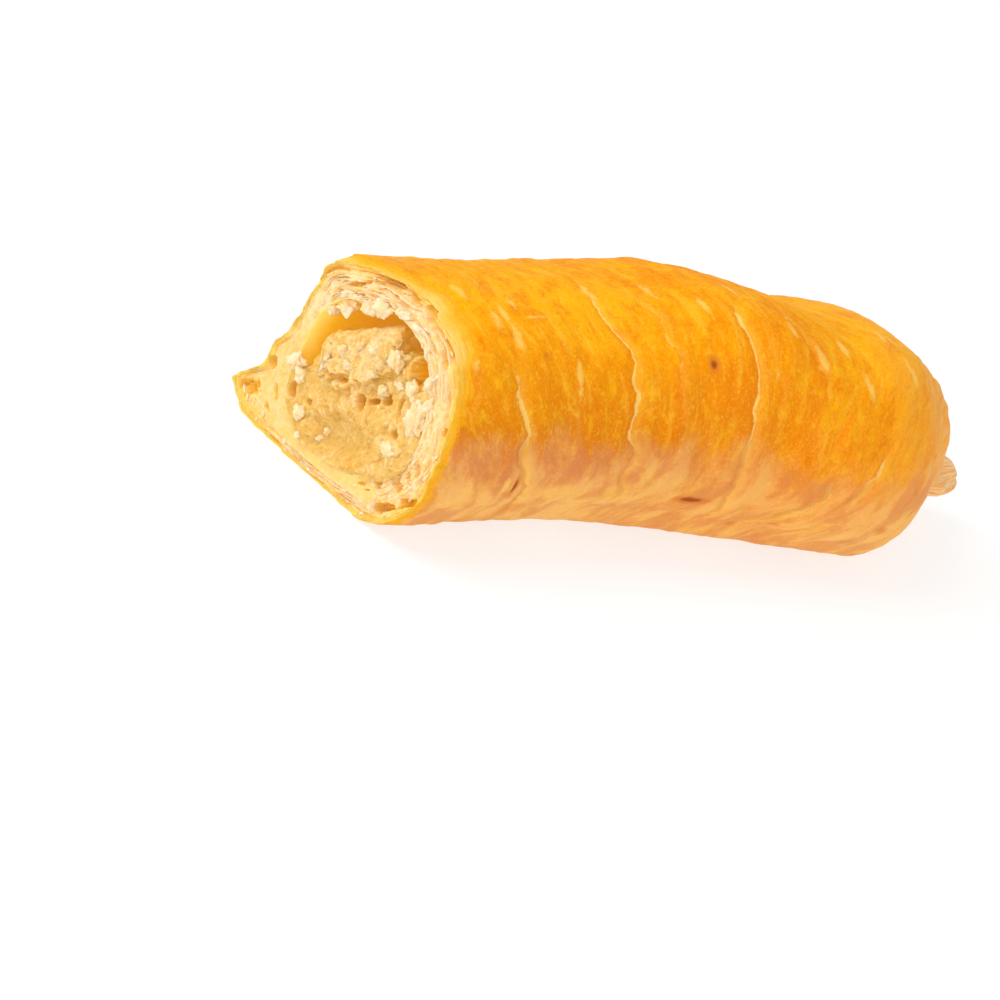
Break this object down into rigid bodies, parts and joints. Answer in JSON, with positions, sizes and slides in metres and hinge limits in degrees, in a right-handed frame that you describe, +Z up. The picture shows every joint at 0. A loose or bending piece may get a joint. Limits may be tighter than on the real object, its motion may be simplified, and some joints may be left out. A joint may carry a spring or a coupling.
{
  "type": "almond pastry stick half",
  "caption": "Half of a baked almond pastry stick, broken across, showing torn flaky layers round an almond paste filling.",
  "frame": {"origin": "middle of the bounding box in plan, at the flat base", "axes": "+X runs along the stick from the broken end to the tucked end, +Y points to the side with the seam flange, +Z is up"},
  "size_m": [0.1474, 0.0654, 0.0435],
  "materials": {
    "crust": "egg-glazed golden brown baked puff pastry, glossy on top, paler low on the sides, cream torn layers inside",
    "filling": "moist grainy pale yellow almond paste with paler almond pieces"
  },
  "bodies": {
    "root": {"pastry": "crust", "almond_filling": "filling"}
  },
  "joints": []
}
